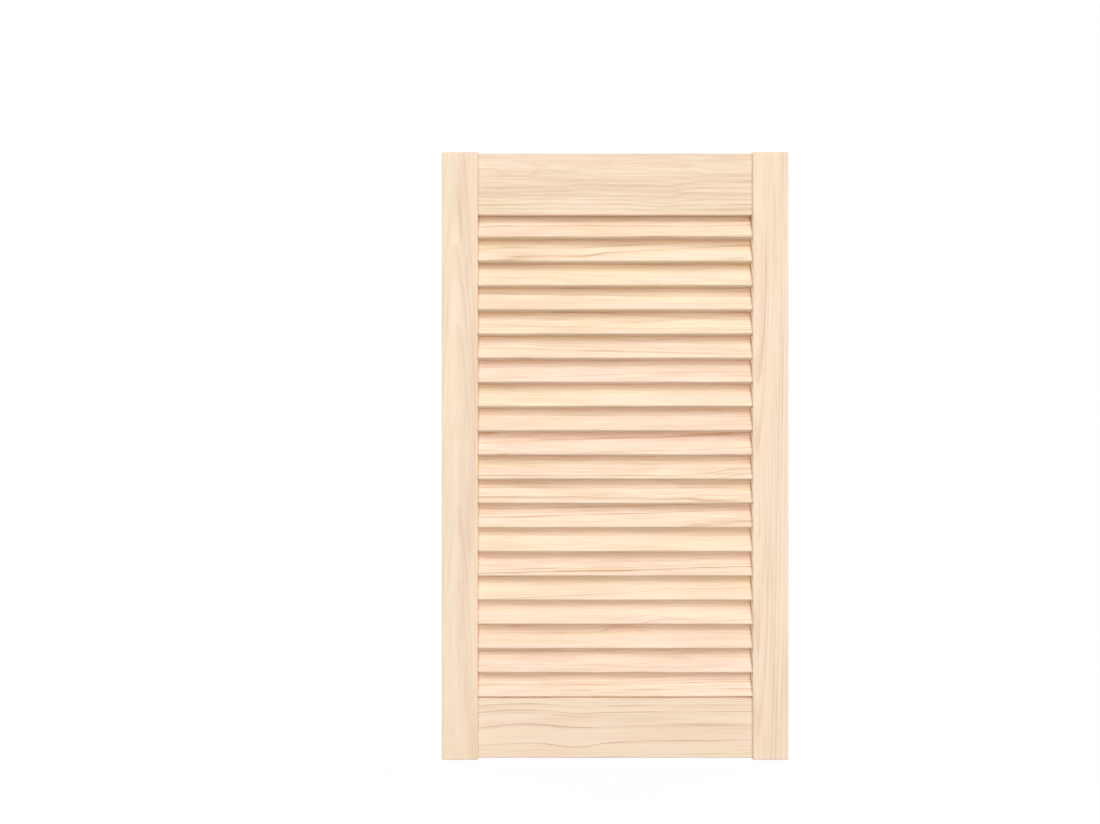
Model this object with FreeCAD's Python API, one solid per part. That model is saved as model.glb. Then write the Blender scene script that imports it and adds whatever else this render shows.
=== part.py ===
"""Louvred door leaf: two stiles, two rails and a bank of fixed, leaning slats.

Millimetres. X runs from the hinge edge to the latch edge, Y from the front to the back, Z up.
The origin is the centre of the hinge edge, the outer face of the left stile.
"""

import FreeCAD, Part
import math
import os

# Leaf
leaf_width = 394.0
leaf_height = 690.0
stile_width = 41.0
stile_thickness = 21.0
stile_arris = 2.0  # rounding along the long edges of a stile
stile_end_chamfer = 0.5  # on the edges round a stile's sawn ends

# Rails
top_rail_height = 70.0
bottom_rail_height = 68.0
rail_setback = 2.5  # rail faces lie this far behind the stile faces, front and back
rail_arris = 1.0  # rounding along the long edges of a rail
top_horn = 1.0  # the stiles run this far past the top rail
bottom_horn = 1.5  # and this far past the bottom rail

# Slats
slat_thickness = 5.5
slat_arris = 1.25  # rounding along the long edges of a slat
slat_angle = 61.0  # degrees from level, with the front edge low
slat_setback = 0.75  # slat edges lie this far inside the stile faces, front and back
slat_overlap = 1.5  # each slat hides at least this much of the next one, seen level

# Fits
housing_depth = 8.0  # the slanted housings go this deep into the inner edge of a stile
housing_clearance = 0.1  # round the section of a slat in its housing
slat_end_clearance = 0.3  # between the end of a slat and the floor of its housing
slat_rail_clearance = 0.3  # between a slat and the rail beside it

# The opening between stiles and rails
opening_left = stile_width
opening_right = leaf_width - stile_width
opening_top = leaf_height / 2 - top_horn - top_rail_height
opening_bottom = -leaf_height / 2 + bottom_horn + bottom_rail_height
opening_width = opening_right - opening_left
opening_height = opening_top - opening_bottom

# A slat's section: a plank with eased edges that leans back and nearly spans the stile's thickness
slat_lean = math.radians(slat_angle)
slat_depth = stile_thickness - 2 * slat_setback
flat_thickness = slat_thickness - 2 * slat_arris
flat_run = slat_depth - 2 * slat_arris - flat_thickness * math.sin(slat_lean)
flat_width = flat_run / math.cos(slat_lean)
slat_width = flat_width + 2 * slat_arris
slat_rise = flat_width * math.sin(slat_lean) + flat_thickness * math.cos(slat_lean) + 2 * slat_arris

# The bank fills the opening, so its pitch follows from a whole number of slats
slat_count = math.ceil(opening_height / (slat_rise - slat_overlap))
slat_pitch = opening_height / slat_count


def rounded_bar(low, high, along, radius):
    """A box from corner low to corner high, with its four edges along one axis rounded."""
    box = Part.makeBox(high.x - low.x, high.y - low.y, high.z - low.z, low)
    long_edges = [edge for edge in box.Edges if abs(edge.tangentAt(0).dot(along)) > 0.5]
    return box.makeFillet(radius, long_edges)


def end_edges(bar, heights):
    """The edges of an upright bar that lie level at one of the given heights."""
    return [
        edge
        for edge in bar.Edges
        if any(abs(edge.BoundBox.ZMin - z) + abs(edge.BoundBox.ZMax - z) < 1e-6 for z in heights)
    ]


def slat_height(index):
    """Height of the middle of a slat, counted from the top."""
    return opening_top - index * slat_pitch + slat_rail_clearance + slat_rise / 2


def slat_bar(index, grow, reach):
    """A slat's section, grown all round, run across the opening and reaching into both stiles."""
    half = FreeCAD.Vector(opening_width / 2 + reach, slat_width / 2 + grow, slat_thickness / 2 + grow)
    bar = rounded_bar(-half, half, FreeCAD.Vector(1, 0, 0), slat_arris + grow)
    bar.rotate(FreeCAD.Vector(), FreeCAD.Vector(1, 0, 0), slat_angle)
    bar.translate(FreeCAD.Vector((opening_left + opening_right) / 2, 0, slat_height(index)))
    return bar


def stile(left):
    """An upright with eased edges and one slanted housing for each slat in its inner edge."""
    low = FreeCAD.Vector(left, -stile_thickness / 2, -leaf_height / 2)
    high = FreeCAD.Vector(left + stile_width, stile_thickness / 2, leaf_height / 2)
    bar = rounded_bar(low, high, FreeCAD.Vector(0, 0, 1), stile_arris)
    bar = bar.makeChamfer(stile_end_chamfer, end_edges(bar, (low.z, high.z)))
    housings = [slat_bar(i, housing_clearance, housing_depth) for i in range(1, slat_count + 1)]
    return bar.cut(housings)


def rail(bottom, height):
    """A plain rail that butts between the stiles."""
    face = stile_thickness / 2 - rail_setback
    low = FreeCAD.Vector(opening_left, -face, bottom)
    high = FreeCAD.Vector(opening_right, face, bottom + height)
    return rounded_bar(low, high, FreeCAD.Vector(1, 0, 0), rail_arris)


def top_rail():
    """The top rail, rebated behind its lower edge where the back of the first slat rises."""
    heel_top = slat_height(1) + slat_rise / 2
    upper_face_run = (opening_top - slat_height(1)) / math.tan(slat_lean)
    upper_face_offset = slat_thickness / 2 / math.sin(slat_lean)
    front = upper_face_run - upper_face_offset - slat_rail_clearance
    depth = stile_thickness / 2 - front
    height = heel_top + slat_rail_clearance - opening_top
    corner = FreeCAD.Vector(opening_left, front, opening_top)
    rebate = Part.makeBox(opening_width, depth, height, corner)
    return rail(opening_top, top_rail_height).cut(rebate)


pieces = {
    "left_stile": stile(0),
    "right_stile": stile(opening_right),
    "top_rail": top_rail(),
    "bottom_rail": rail(opening_bottom - bottom_rail_height, bottom_rail_height),
}
for number in range(1, slat_count + 1):
    pieces[f"slat_{number:02d}"] = slat_bar(number, 0, housing_depth - slat_end_clearance)

os.makedirs("parts", exist_ok=True)
for name, shape in pieces.items():
    shape.exportStep(f"parts/{name}.step")
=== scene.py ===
"""Looks of a louvred door leaf in bare, sanded pine: grain, light, floor and camera."""

import math
import random
from typing import NamedTuple

import bpy
from mathutils import Matrix, Vector


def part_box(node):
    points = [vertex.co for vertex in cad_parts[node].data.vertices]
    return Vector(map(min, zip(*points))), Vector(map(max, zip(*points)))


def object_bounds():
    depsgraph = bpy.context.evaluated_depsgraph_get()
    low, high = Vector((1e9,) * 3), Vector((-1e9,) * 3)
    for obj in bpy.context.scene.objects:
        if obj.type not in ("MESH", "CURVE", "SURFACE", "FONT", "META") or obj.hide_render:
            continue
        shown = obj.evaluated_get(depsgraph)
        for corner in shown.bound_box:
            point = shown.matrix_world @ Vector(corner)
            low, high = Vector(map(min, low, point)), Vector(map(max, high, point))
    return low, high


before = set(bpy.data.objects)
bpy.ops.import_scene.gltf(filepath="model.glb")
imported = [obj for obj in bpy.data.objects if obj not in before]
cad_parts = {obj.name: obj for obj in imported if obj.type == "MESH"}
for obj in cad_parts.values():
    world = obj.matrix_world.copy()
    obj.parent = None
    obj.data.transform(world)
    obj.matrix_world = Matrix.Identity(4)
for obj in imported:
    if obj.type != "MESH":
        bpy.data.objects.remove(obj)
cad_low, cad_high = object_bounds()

MM = 1000.0  # the grain is worked out in millimetres
X_AXIS = Vector((1, 0, 0))
Z_AXIS = Vector((0, 0, 1))
LEFTWARD = Vector((-1, 0, 0))
WHITE = (1, 1, 1, 1)
BLACK = (0, 0, 0, 1)

# The photograph's frame, and the leaf's place in it
PHOTO_WIDTH = 1100
PHOTO_HEIGHT = 824
LEAF_LEFT_PX = 441.7
LEAF_RIGHT_PX = 788.8
LEAF_TOP_PX = 152.05
CAMERA_DISTANCE = 1.30  # metres from the front face
SENSOR_WIDTH = 36.0

# Floor and surroundings
WORLD_STRENGTH = 0.22
FLOOR_SIZE = 30.0
FLOOR_COLOUR = 0.28
FLOOR_LEVEL = 0.31  # how bright the lamps make the bare floor
FLOOR_SHADOW = 0.10  # how much of the floor's own shading the camera sees

# Pine, in display colours
EARLY = (254, 234, 199)
BLUSH = (254, 227, 207)
PALE = (255, 241, 217)
LATE = (203, 160, 116)
KNOT = (224, 152, 112)

# Rings that stand out
RING_SLOPE = 3.5  # a ring darkens slowly over this many millimetres
RING_SLOW_SHARE = 0.25  # to this share of its strength
RING_RISE = 0.9  # then fast over the last of them
RING_FALL = 0.3  # and ends over this many
RING_MARGIN = 2  # their ramp starts this many slopes inside the first and ends this many falls past the last

# Fine rings between
FINE_RING_DETAIL = 2.0
FINE_RING_ROUGHNESS = 0.6
FINE_RING_SPAN = (0.5, 0.78)  # where their noise turns from early to late wood

# How rings fade and come back along a board
FADE_MIDDLE = 0.75
FADE_CHANGE = 0.5
FADE_LEAST = 0.1

# Streaks, patches, dark sawn ends, and painted shade at the joints
STREAK_WIDTH = 1.3
CLOUD_STRENGTH = 0.13
FIBRE_STRENGTH = 0.09
PALE_STREAK_SPAN = (0.1, 1.1)  # where their noise turns pale
PALE_STREAK_STRENGTH = 0.6
PALE_EDGE_BLUR = 1.5
END_GRAIN_SPAN = (0.5, 0.9)  # how squarely a face looks along the grain
END_GRAIN_STRENGTH = 0.3
# Painted shade: a dark line where each board meets the next, in place of the shade in the joint
JOINT_SHADE_WIDTH = 2.0
JOINT_SHADE_STRENGTH = 0.5

# Surface
ROUGHNESS = 0.62
ROUGHNESS_CHANGE = 0.06
SPECULAR = 0.25
FIBRE_RELIEF = 0.4  # next to late wood, which stands out by 1
RELIEF_STRENGTH = 0.25
RELIEF_DEPTH = 0.0001  # metres

NOISE_SPREAD = 4.0  # noise keeps near a half, so it is spread this much
SLAT_SEED = 11


class Lamp(NamedTuple):
    """Even light from one direction, as soft as a wide lamp far away."""

    source: Vector  # the way from the leaf to the lamp
    spread: float  # how wide the lamp looks, in degrees
    strength: float


# From above in front, nearly level in front, from behind on the left and right, and from both sides
LAMPS = {
    "key": Lamp(Vector((0.12, -1.0, 0.92)), spread=42, strength=1.74),
    "front": Lamp(Vector((0.12, -1.0, 0.09)), spread=16, strength=0.95),
    "rim_left": Lamp(Vector((-0.68, 0.54, 0.54)), spread=16, strength=1.25),
    "rim_right": Lamp(Vector((0.68, 0.54, 0.54)), spread=16, strength=1.25),
    "side_left": Lamp(Vector((-1.0, 0.0, 0.25)), spread=8, strength=0.5),
    "side_right": Lamp(Vector((1.0, 0.0, 0.25)), spread=8, strength=0.5),
}


class Pattern(NamedTuple):
    """Smooth noise over a board."""

    lengths: tuple  # its usual lengths along, across and through the board, in millimetres
    seed_step: int  # from the board's seed, which keeps its patterns apart
    detail: float = 1.0


SWIRL = Pattern((150, 60, 60), 0)
RIPPLE = Pattern((45, 16, 16), 1)
FADE = Pattern((70, 7, 7), 2)
PALE_STREAK = Pattern((60, 2.0, 2.0), 4, detail=2.0)
FIBRE = Pattern((20, 0.6, 0.6), 5, detail=2.0)
TONE = Pattern((140, 9, 9), 6, detail=2.0)
CLOUD = Pattern((120, 12, 12), 7)


def streaks(length):
    """The pattern of streaks that are usually of the given length."""
    return Pattern((length, STREAK_WIDTH, STREAK_WIDTH), 3, detail=2.0)


class Knot(NamedTuple):
    """A knot, or another place that the rings bend round, in millimetres from the board's middle."""

    along: float
    across: float
    length: float
    width: float
    push: float = 0.0  # how far it pushes the rings away from the pith, or below 0 draws them in
    tint: float = 0.0  # how much it reddens the wood


class Figure(NamedTuple):
    """How a board lay in its log, in millimetres, and what its grain draws on it."""

    pith_across: float  # of the pith from the middle of the board, at mid length
    pith_depth: float  # of the pith behind the middle of the board, at mid length
    sweep: float  # how far the pith runs across for each millimetre along
    sink: float  # and how far it sinks
    wave: float  # how far the rings wander
    ripple: float  # how strong short waves are next to long ones
    rings: tuple  # the radius and strength of each ring that stands out
    ring_width: float  # of the fine rings between
    fine: float  # strength of the fine rings
    streak: float  # strength of the streaks along the grain
    streak_length: float  # how long a streak usually is
    shade: float  # how dark the wood is between its lines
    blush: float  # from 0, yellowish, to 1, pinkish
    mottle: float  # how much that changes over the board
    seed: float  # sets the board's noise apart from that of the others
    seam: float = 0.0  # half the length between the joints, where painted shade draws a dark line
    knots: tuple = ()
    pale_edge: float = 0.0  # the wood is paler on one side of this line along the board
    pale: float = 0.0  # and by this much


def srgb(red, green, blue):
    """A colour given in 0 to 255 display values, as the linear colour that shaders use."""
    def linear(value):
        share = value / 255
        return share / 12.92 if share <= 0.04045 else ((share + 0.055) / 1.055) ** 2.4
    return linear(red), linear(green), linear(blue), 1.0


def empty_tree(holder):
    """The node tree of a material or a world, with nothing in it."""
    holder.use_nodes = True
    holder.node_tree.nodes.clear()
    return holder.node_tree


def add(tree, kind, inputs=None, **settings):
    """A new node with its settings, and its inputs set to values or linked to sockets."""
    node = tree.nodes.new(kind)
    for name, value in settings.items():
        setattr(node, name, value)
    for name, value in (inputs or {}).items():
        if isinstance(value, bpy.types.NodeSocket):
            tree.links.new(value, node.inputs[name])
        else:
            node.inputs[name].default_value = value
    return node


def calc(tree, operation, *values):
    """The result of a Math node on one to three numbers or sockets."""
    node = add(tree, "ShaderNodeMath", dict(enumerate(values)), operation=operation)
    return node.outputs[0]


def span(tree, value, low, high):
    """How far a value lies from low to high, as a share that eases in and out."""
    inputs = {"Value": value, "From Min": low, "From Max": high}
    return add(tree, "ShaderNodeMapRange", inputs, interpolation_type="SMOOTHSTEP").outputs[0]


def mixed(tree, share, first, second):
    """A colour between two, each a colour socket or display values."""
    def colour(value):
        return value if isinstance(value, bpy.types.NodeSocket) else srgb(*value)
    # A mix node has sockets of the same name for each kind of value, so those for colours go by number
    inputs = {0: share, 6: colour(first), 7: colour(second)}
    return add(tree, "ShaderNodeMix", inputs, data_type="RGBA").outputs[2]


def blended(tree, share, first, second):
    """A shader between those of two nodes."""
    inputs = {0: share, 1: first.outputs[0], 2: second.outputs[0]}
    return add(tree, "ShaderNodeMixShader", inputs).outputs[0]


def noise(tree, place, pattern, seed):
    """A pattern of noise, from about -1 to 1."""
    stretch = tuple(1 / length for length in pattern.lengths)
    scaled = add(tree, "ShaderNodeVectorMath", {0: place, 1: stretch}, operation="MULTIPLY")
    field = add(
        tree, "ShaderNodeTexNoise",
        {"Vector": scaled.outputs[0], "W": seed + pattern.seed_step, "Scale": 1.0, "Detail": pattern.detail},
        noise_dimensions="4D",
    )
    return calc(tree, "MULTIPLY_ADD", field.outputs[0], NOISE_SPREAD, -NOISE_SPREAD / 2)


def uneven_rings(tree, radius, width, seed):
    """Fine lines of uneven width and strength, one after another outward from the pith."""
    turns = calc(tree, "MULTIPLY_ADD", radius, 1 / width, seed)
    field = add(
        tree, "ShaderNodeTexNoise",
        {"W": turns, "Scale": 1.0, "Detail": FINE_RING_DETAIL, "Roughness": FINE_RING_ROUGHNESS},
        noise_dimensions="1D",
    )
    return span(tree, field.outputs[0], *FINE_RING_SPAN)


def ring_lines(tree, radius, rings):
    """Lines of late wood, which darken slowly outward to each given radius and end sharply."""
    low = rings[0][0] - RING_MARGIN * RING_SLOPE
    high = rings[-1][0] + RING_MARGIN * RING_FALL
    share = add(tree, "ShaderNodeMapRange", {"Value": radius, "From Min": low, "From Max": high})
    node = add(tree, "ShaderNodeValToRGB", {"Fac": share.outputs[0]})
    stops = node.color_ramp.elements
    for end in stops:
        end.color = BLACK
    last_end = low
    for peak, strength in rings:
        begin = max(peak - RING_SLOPE, last_end)
        last_end = peak + RING_FALL
        slow_end = (peak - RING_RISE, RING_SLOW_SHARE * strength)
        for distance, value in ((begin, 0), slow_end, (peak, strength), (last_end, 0)):
            stop = stops.new((distance - low) / (high - low))
            stop.color = (value, value, value, 1)
    return node.outputs[0]


def board_place(tree, name, along, across):
    """Millimetres along, across and out of a board, from its middle."""
    low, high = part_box(name)
    turn = Matrix((along, across, along.cross(across)))
    return add(
        tree, "ShaderNodeMapping",
        {
            "Vector": add(tree, "ShaderNodeTexCoord").outputs["Object"],
            "Location": -(turn @ (low + high) / 2) * MM,
            "Rotation": turn.to_euler("XYZ"),
            "Scale": (MM, MM, MM),
        },
    ).outputs[0]


def pith_distance(tree, place, figure):
    """Distance from the pith, which sweeps and sinks along the board."""
    pith_across = calc(tree, "MULTIPLY_ADD", place[0], figure.sweep, figure.pith_across)
    pith_out = calc(tree, "MULTIPLY_ADD", place[0], -figure.sink, -figure.pith_depth)
    aside = calc(tree, "SUBTRACT", place[1], pith_across)
    outward = calc(tree, "SUBTRACT", place[2], pith_out)
    square = calc(tree, "MULTIPLY", outward, outward)
    return calc(tree, "SQRT", calc(tree, "MULTIPLY_ADD", aside, aside, square))


def knot_swell(tree, place, knot):
    """1 at the middle of a knot, and less and less away from it."""
    off_along = calc(tree, "MULTIPLY_ADD", place[0], 1 / knot.length, -knot.along / knot.length)
    off_across = calc(tree, "MULTIPLY_ADD", place[1], 1 / knot.width, -knot.across / knot.width)
    square = calc(tree, "MULTIPLY", off_across, off_across)
    square = calc(tree, "MULTIPLY_ADD", off_along, off_along, square)
    return calc(tree, "EXPONENT", calc(tree, "MULTIPLY", square, -1.0))


def ring_drift(tree, board, figure):
    """How far the rings wander, in long and short waves."""
    swirl = noise(tree, board, SWIRL, figure.seed)
    ripple = noise(tree, board, RIPPLE, figure.seed)
    waves = calc(tree, "MULTIPLY_ADD", ripple, figure.ripple, swirl)
    return calc(tree, "MULTIPLY", waves, figure.wave)


def late_wood(tree, board, radius, figure):
    """How much late wood there is: rings that fade and come back along the board."""
    fade = calc(tree, "MULTIPLY_ADD", noise(tree, board, FADE, figure.seed), FADE_CHANGE, FADE_MIDDLE)
    fine = uneven_rings(tree, radius, figure.ring_width, figure.seed)
    late = calc(tree, "MULTIPLY", fine, figure.fine)
    if figure.rings:
        late = calc(tree, "ADD", late, ring_lines(tree, radius, figure.rings))
    return calc(tree, "MULTIPLY", late, calc(tree, "MAXIMUM", fade, FADE_LEAST))


def end_grain(tree, along):
    """1 on a board's sawn ends and 0 on its long faces."""
    normal = add(tree, "ShaderNodeNewGeometry").outputs["Normal"]
    facing = add(tree, "ShaderNodeVectorMath", {0: normal, 1: along}, operation="DOT_PRODUCT")
    return span(tree, calc(tree, "ABSOLUTE", facing.outputs["Value"]), *END_GRAIN_SPAN)


def darkness(tree, place, flow, along, late, fibre, figure):
    """How far the wood turns to the colour of late wood, as its sawn ends do too, with painted shade at the
    joints.
    """
    streak = noise(tree, flow, streaks(figure.streak_length), figure.seed)
    cloud = noise(tree, flow, CLOUD, figure.seed)
    dark = calc(tree, "MULTIPLY_ADD", streak, figure.streak, late)
    dark = calc(tree, "MULTIPLY_ADD", cloud, CLOUD_STRENGTH, dark)
    dark = calc(tree, "MULTIPLY_ADD", fibre, FIBRE_STRENGTH, dark)
    dark = calc(tree, "ADD", dark, figure.shade)
    dark = calc(tree, "MULTIPLY_ADD", end_grain(tree, along), END_GRAIN_STRENGTH, dark)
    # Painted shade: a dark line at each end of the board, where it meets the stiles
    if figure.seam:
        joint_shade = span(tree, calc(tree, "ABSOLUTE", place[0]), figure.seam - JOINT_SHADE_WIDTH, figure.seam)
        dark = calc(tree, "MULTIPLY_ADD", joint_shade, JOINT_SHADE_STRENGTH, dark)
    return dark


def wood_colour(tree, place, flow, dark, redness, figure):
    """Early wood with pale streaks, darkened to late wood and reddened at knots."""
    tone = calc(tree, "MULTIPLY_ADD", noise(tree, flow, TONE, figure.seed), figure.mottle, figure.blush)
    pale_streak = span(tree, noise(tree, flow, PALE_STREAK, figure.seed), *PALE_STREAK_SPAN)
    wood = mixed(tree, tone, EARLY, BLUSH)
    wood = mixed(tree, calc(tree, "MULTIPLY", pale_streak, PALE_STREAK_STRENGTH), wood, PALE)
    wood = mixed(tree, dark, wood, LATE)
    if figure.pale:
        side = span(tree, place[1], figure.pale_edge - PALE_EDGE_BLUR, figure.pale_edge + PALE_EDGE_BLUR)
        wood = mixed(tree, calc(tree, "MULTIPLY", side, figure.pale), wood, PALE)
    if figure.knots:
        wood = mixed(tree, redness, wood, KNOT)
    return wood


def pine(name, along, across, figure):
    """Bare pine for one board, whose grain runs along one axis and whose face spans another."""
    material = bpy.data.materials.new(f"pine_{name}")
    tree = empty_tree(material)
    board = board_place(tree, name, along, across)
    place = add(tree, "ShaderNodeSeparateXYZ", {0: board}).outputs

    # Rings round the pith wander, and bend round knots
    drift = ring_drift(tree, board, figure)
    radius = calc(tree, "ADD", pith_distance(tree, place, figure), drift)
    redness = 0.0
    for knot in figure.knots:
        swell = knot_swell(tree, place, knot)
        radius = calc(tree, "MULTIPLY_ADD", swell, -knot.push, radius)
        redness = calc(tree, "MULTIPLY_ADD", swell, knot.tint, redness)
    late = late_wood(tree, board, radius, figure)

    # Streaks and fibre run with the rings
    across_grain = calc(tree, "ADD", place[1], drift)
    flow = add(tree, "ShaderNodeCombineXYZ", {0: place[0], 1: across_grain, 2: place[2]}).outputs[0]
    fibre = noise(tree, flow, FIBRE, figure.seed)
    dark = darkness(tree, place, flow, along, late, fibre, figure)

    height = calc(tree, "MULTIPLY_ADD", fibre, FIBRE_RELIEF, late)
    relief = {"Height": height, "Strength": RELIEF_STRENGTH, "Distance": RELIEF_DEPTH}
    shader = add(
        tree, "ShaderNodeBsdfPrincipled",
        {
            "Base Color": wood_colour(tree, place, flow, dark, redness, figure),
            "Normal": add(tree, "ShaderNodeBump", relief).outputs[0],
            "Roughness": calc(tree, "MULTIPLY_ADD", fibre, ROUGHNESS_CHANGE, ROUGHNESS),
            "Specular IOR Level": SPECULAR,
        },
    )
    add(tree, "ShaderNodeOutputMaterial", {"Surface": shader.outputs[0]})
    return material


def dress(name, along, across, figure):
    """Give one CAD node its own pine."""
    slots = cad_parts[name].data.materials
    slots.clear()
    slots.append(pine(name, along, across, figure))


rail_low, rail_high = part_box("top_rail")
# Where the painted shade at the joints lies: half the rail's length from the middle
JOINT_SHADE_AT = (rail_high.x - rail_low.x) / 2 * MM

STILES = {
    "left_stile": Figure(
        pith_across=3, pith_depth=20.3, sweep=0.006, sink=0.025, wave=0.8, ripple=0.2,
        rings=((27, 0.1), (29.6, 0.13), (32, 0.16), (34.6, 0.2), (36.6, 0.3), (38.2, 0.3), (40.4, 0.22)),
        ring_width=1.8, fine=0.12, streak=0.09, streak_length=110,
        shade=0.1, blush=0.6, mottle=0.3, seed=3.1, pale_edge=2.4, pale=0.35,
    ),
    "right_stile": Figure(
        pith_across=15, pith_depth=18.9, sweep=0.0, sink=-0.0157, wave=0.6, ripple=0.2,
        rings=((28, 0.45), (32.8, 0.25), (36.5, 0.25), (38.4, 0.4), (40.8, 0.35), (44, 0.25)),
        ring_width=1.8, fine=0.3, streak=0.18, streak_length=110,
        shade=-0.03, blush=0.55, mottle=0.4, seed=8.4,
    ),
}
RAILS = {
    "top_rail": Figure(
        pith_across=20, pith_depth=32, sweep=0.0, sink=0.004, wave=1.8, ripple=0.6,
        rings=((43, 0.2), (45.4, 0.32), (48.3, 0.32), (51.7, 0.42), (55.5, 0.38), (59.5, 0.4), (63.8, 0.4)),
        ring_width=1.6, fine=0.3, streak=0.2, streak_length=80,
        shade=0.08, blush=0.55, mottle=0.35, seed=5.7, seam=JOINT_SHADE_AT,
        knots=(Knot(along=56, across=-18, length=24, width=9, push=2.5),),
    ),
    "bottom_rail": Figure(
        pith_across=-60, pith_depth=20, sweep=0.0, sink=-0.03, wave=0.7, ripple=0.3,
        rings=((39.6, 0.5), (52.1, 0.75), (68, 0.85), (79.5, 0.4), (82.7, 0.75), (89.9, 0.75), (96.5, 0.5)),
        ring_width=2.0, fine=0.15, streak=0.17, streak_length=80,
        shade=0.0, blush=0.6, mottle=0.4, seed=1.3, seam=JOINT_SHADE_AT,
        knots=(
            Knot(along=-105, across=15, length=55, width=30, push=4.5),
            Knot(along=-45, across=12, length=30, width=25, push=-2.0),
            Knot(along=-45, across=-19, length=26, width=9, push=-4.0),
            Knot(along=105, across=4.6, length=42, width=1.6, tint=0.24),
            Knot(along=95, across=-4, length=55, width=8, tint=0.12),
        ),
    ),
}
for name, figure in STILES.items():
    dress(name, Z_AXIS, LEFTWARD, figure)
for name, figure in RAILS.items():
    dress(name, X_AXIS, Z_AXIS, figure)


def slat_figure(draw):
    """One of many like slats, each sawn from another place in its log."""
    return Figure(
        pith_across=draw.choice((-1, 1)) * draw.uniform(10, 45),
        pith_depth=draw.uniform(15, 45),
        sweep=draw.uniform(-0.02, 0.02),
        sink=draw.uniform(-0.02, 0.02),
        wave=draw.uniform(0.5, 1.6),
        ripple=0.3,
        rings=(),
        ring_width=draw.uniform(1.1, 2.2),
        fine=draw.uniform(0.3, 0.75),
        streak=draw.uniform(0.16, 0.3),
        streak_length=45,
        shade=draw.uniform(0.1, 0.15),
        blush=draw.uniform(0.4, 1.0),
        mottle=0.5,
        seed=draw.uniform(0, 60),
        seam=JOINT_SHADE_AT,
    )


# Slats whose grain draws long arcs, or bends over a knot
SLAT_FIGURES = {
    "slat_11": dict(
        pith_across=-35, pith_depth=20, sweep=0.0, sink=0.0, wave=0.5, rings=((31.6, 0.4), (40, 0.2)),
        knots=(Knot(along=155, across=-5, length=45, width=15, push=8.0),),
    ),
    "slat_16": dict(
        pith_across=-40, pith_depth=20, sweep=0.05, sink=0.0, wave=0.4, rings=((38.4, 0.45), (46, 0.15)),
        fine=0.2, streak=0.08, knots=(Knot(along=62, across=-3, length=28, width=12, push=3.0),),
    ),
    "slat_17": dict(
        pith_across=-45, pith_depth=20, sweep=0.05, sink=0.0, wave=0.4, rings=((34.5, 0.45), (42, 0.12)),
        fine=0.2, streak=0.1, knots=(Knot(along=62, across=-11, length=28, width=14, push=5.0),),
    ),
    "slat_18": dict(
        pith_across=-40, pith_depth=20, sweep=0.0, sink=0.0, wave=0.4, rings=((47.3, 0.5),),
        knots=(
            Knot(along=-112, across=11, length=17, width=3.0, push=1.0, tint=0.45),
            Knot(along=10, across=9, length=24, width=7, push=9.0, tint=0.25),
        ),
    ),
}
slat_names = sorted(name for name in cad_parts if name.startswith("slat_"))
draw = random.Random(SLAT_SEED)
for name in slat_names:
    low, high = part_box(name)
    lean = math.atan2(high.z - low.z, high.y - low.y)
    up_slope = Vector((0, math.cos(lean), math.sin(lean)))
    figure = slat_figure(draw)._replace(**SLAT_FIGURES.get(name, {}))
    dress(name, X_AXIS, up_slope, figure)


def background_ray(tree):
    """1 for rays that show the background: those from the camera, and mirrored or let through."""
    path = add(tree, "ShaderNodeLightPath").outputs
    seen = calc(tree, "MAXIMUM", path["Is Camera Ray"], path["Is Glossy Ray"])
    return calc(tree, "MAXIMUM", seen, path["Is Transmission Ray"])


def white_world():
    """Even, dim light all round, behind a background that shows white."""
    world = bpy.data.worlds.new("studio")
    bpy.context.scene.world = world
    tree = empty_tree(world)
    light = add(tree, "ShaderNodeBackground", {"Color": WHITE, "Strength": WORLD_STRENGTH})
    white = add(tree, "ShaderNodeBackground", {"Color": WHITE, "Strength": 1.0})
    shown = blended(tree, background_ray(tree), light, white)
    add(tree, "ShaderNodeOutputWorld", {"Surface": shown})


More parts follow.
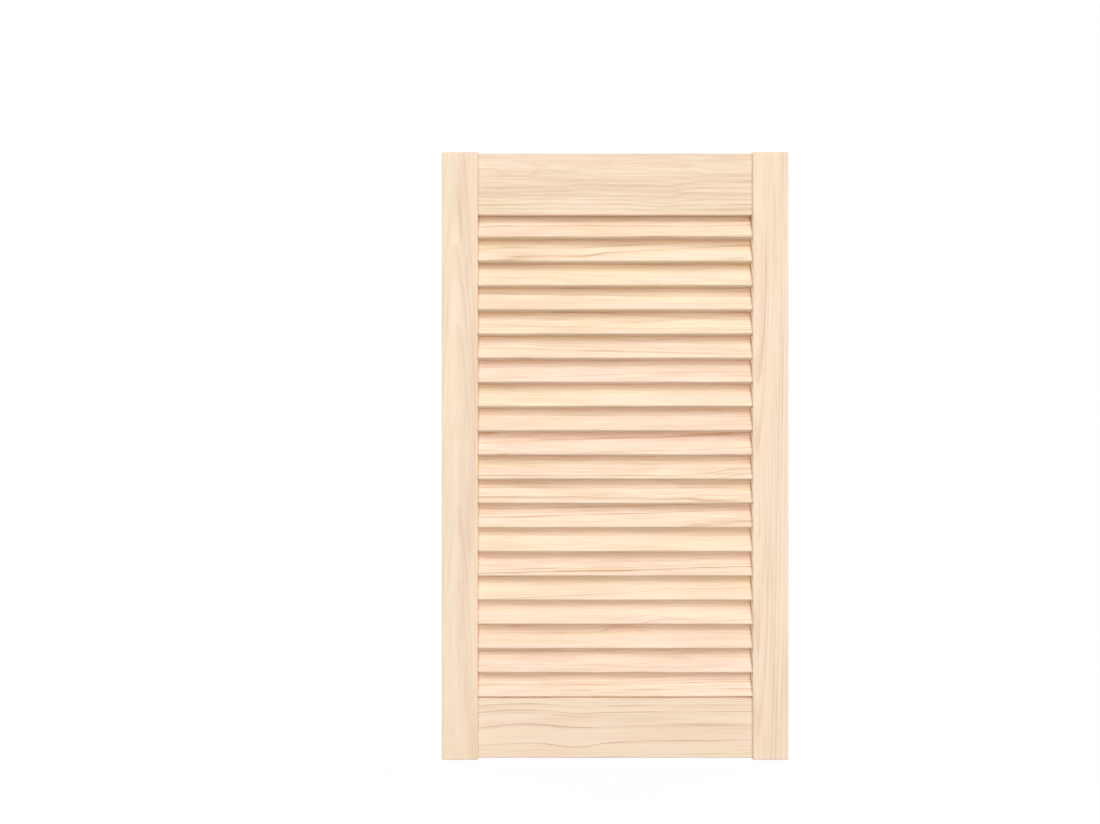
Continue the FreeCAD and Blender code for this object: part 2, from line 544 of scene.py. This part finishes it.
def white_floor():
    """A floor under the leaf that shows white but keeps a little of the leaf's shadow."""
    half = FLOOR_SIZE / 2
    corners = [(x, y, cad_low.z) for x, y in ((-half, -half), (half, -half), (half, half), (-half, half))]
    mesh = bpy.data.meshes.new("floor")
    mesh.from_pydata(corners, [], [(0, 1, 2, 3)])
    floor = bpy.data.objects.new("floor", mesh)
    bpy.context.scene.collection.objects.link(floor)
    material = bpy.data.materials.new("floor_white")
    tree = empty_tree(material)
    fill = (1 - FLOOR_SHADOW * FLOOR_LEVEL) / (1 - FLOOR_SHADOW)
    matt = add(tree, "ShaderNodeBsdfDiffuse", {"Color": (FLOOR_COLOUR, FLOOR_COLOUR, FLOOR_COLOUR, 1)})
    white = add(tree, "ShaderNodeEmission", {"Color": WHITE, "Strength": fill})
    share = calc(tree, "MULTIPLY", background_ray(tree), 1 - FLOOR_SHADOW)
    add(tree, "ShaderNodeOutputMaterial", {"Surface": blended(tree, share, matt, white)})
    mesh.materials.append(material)


def soft_sun(name, lamp):
    """A lamp of the given name in the scene."""
    light = bpy.data.lights.new(name, "SUN")
    light.angle = math.radians(lamp.spread)
    light.energy = lamp.strength
    holder = bpy.data.objects.new(name, light)
    holder.rotation_euler = (-lamp.source).to_track_quat("-Z", "Y").to_euler()
    bpy.context.scene.collection.objects.link(holder)


def photo_camera():
    """A camera square on to the leaf, with the leaf where the photograph has it."""
    metres_per_px = (cad_high.x - cad_low.x) / (LEAF_RIGHT_PX - LEAF_LEFT_PX)
    data = bpy.data.cameras.new("camera")
    data.sensor_fit = "HORIZONTAL"
    data.sensor_width = SENSOR_WIDTH
    data.lens = SENSOR_WIDTH * CAMERA_DISTANCE / (PHOTO_WIDTH * metres_per_px)
    camera = bpy.data.objects.new("camera", data)
    camera.location = (
        cad_low.x + (PHOTO_WIDTH / 2 - LEAF_LEFT_PX) * metres_per_px,
        cad_low.y - CAMERA_DISTANCE,
        cad_high.z - (PHOTO_HEIGHT / 2 - LEAF_TOP_PX) * metres_per_px,
    )
    camera.rotation_euler = (math.pi / 2, 0, 0)
    bpy.context.scene.collection.objects.link(camera)
    bpy.context.scene.camera = camera


white_world()
white_floor()
for name, lamp in LAMPS.items():
    soft_sun(name, lamp)
photo_camera()
bpy.context.scene.view_settings.view_transform = "Standard"
